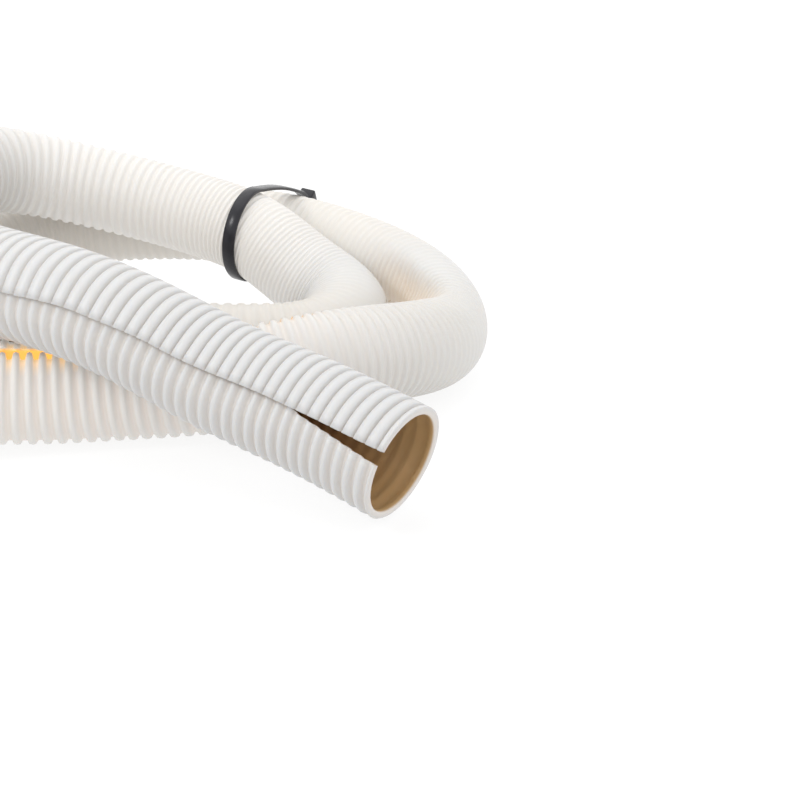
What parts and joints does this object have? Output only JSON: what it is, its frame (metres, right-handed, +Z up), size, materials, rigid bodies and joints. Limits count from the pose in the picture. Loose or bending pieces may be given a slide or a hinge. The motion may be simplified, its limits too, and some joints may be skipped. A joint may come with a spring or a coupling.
{
  "type": "split wire loom",
  "caption": "Corrugated plastic tube, slit along its length for bundling wires, lying in a loose coil with a cable tie round two of its runs.",
  "frame": {"origin": "middle of the coil's footprint, on the floor it lies on", "axes": "+Z up, the open front end of the tube points towards +X and -Y, and +Y runs to the back of the coil"},
  "size_m": [0.2214, 0.2262, 0.0854],
  "materials": {
    "loom_plastic": "satin",
    "tie_nylon": "satin"
  },
  "bodies": {
    "root": {"split_loom": "loom_plastic", "cable_tie": "tie_nylon"}
  },
  "joints": []
}
